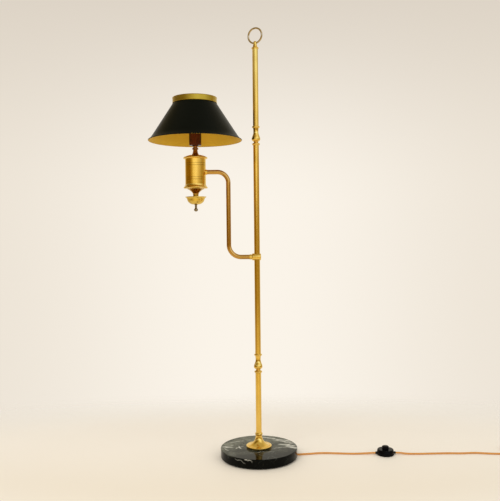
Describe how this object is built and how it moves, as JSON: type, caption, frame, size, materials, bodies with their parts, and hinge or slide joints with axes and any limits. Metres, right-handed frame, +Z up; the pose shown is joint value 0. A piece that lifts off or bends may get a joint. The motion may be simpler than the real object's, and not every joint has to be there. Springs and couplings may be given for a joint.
{
  "type": "pharmacy floor lamp",
  "caption": "Brass floor lamp on a round marble base, with a swinging bent arm, drum font, wide black metal shade, carrying ring, braided lead and foot switch.",
  "frame": {"origin": "centre of the base's underside, on the pole's axis, where the felt meets the floor", "axes": "+Z up the pole, -X along the arm towards the shade at rest, -Y the front, +X where the lead leaves"},
  "size_m": [1.44, 0.336, 1.546],
  "materials": {
    "brass": "aged satin brass with a polished sheen",
    "marble": "polished, near-black green with pale veins",
    "felt": "dark green felt",
    "plated_steel": "zinc-plated",
    "bakelite": "moulded, red-brown, glossy",
    "porcelain": "glazed white",
    "shade_paint": "satin black outside, gold inside",
    "bulb_glass": "frosted",
    "bulb_metal": "rolled screw cap",
    "black_plastic": "moulded, black",
    "black_rubber": "matt",
    "braid": "braided, gold"
  },
  "bodies": {
    "stand": {"base_slab": "marble", "base_pad": "felt", "cord_clip": "black_plastic", "base_washer": "plated_steel", "base_nut": "plated_steel", "base_nipple": "plated_steel", "base_flange": "brass", "flange_collar": "brass", "lower_tube": "brass", "lower_knop": "brass", "lower_mid_tube": "brass", "swivel_spigot": "brass", "swivel_socket": "brass", "swivel_washers": "brass", "upper_mid_tube": "brass", "upper_knop": "brass", "upper_tube": "brass", "top_cap": "brass", "ring_handle": "brass", "pole_flex": "braid", "switch_pads": "black_rubber", "switch_floor": "black_plastic", "switch_cover": "black_plastic", "switch_spring": "plated_steel", "switch_blocks": "porcelain", "switch_terminals": "brass", "switch_screws": "plated_steel", "switch_sleeves": "black_rubber", "cord_base_run": "braid", "cord_switch_run": "braid", "cord_coil": "braid", "plug_body": "black_plastic", "plug_pins": "brass", "plug_relief": "black_rubber"},
    "arm": {"swivel_knuckle": "brass", "stop_screw": "plated_steel", "arm_tube": "brass", "arm_ferrules": "brass", "arm_nut": "plated_steel", "arm_flex": "braid", "font_body": "brass", "font_lid": "brass", "font_foot": "brass", "font_stem": "brass", "lamp_rod": "plated_steel", "drip_bowl": "brass", "finial_knob": "brass", "holder_neck": "brass", "holder_cap": "bakelite", "holder_skirt": "bakelite", "holder_insert": "porcelain", "holder_contacts": "brass", "bulb_cap": "bulb_metal", "bulb_glass": "bulb_glass", "shade_spider": "plated_steel", "shade_ring": "bakelite", "shade_cone": "shade_paint", "shade_band": "brass"},
    "button": {"switch_button": "black_plastic"}
  },
  "joints": [
    {"name": "arm_swing", "type": "hinge", "parent": "stand", "child": "arm", "pos_m": [0, 0, 0.725], "axis": [0, 0, 1], "range_deg": [-90, 90]},
    {"name": "button_press", "type": "slide", "parent": "stand", "child": "button", "axis": [0, 0, -1], "range_m": [0, 0.004], "stiffness_N_per_m": 1500, "springref_m": -0.002, "deforming": ["switch_spring"]}
  ]
}
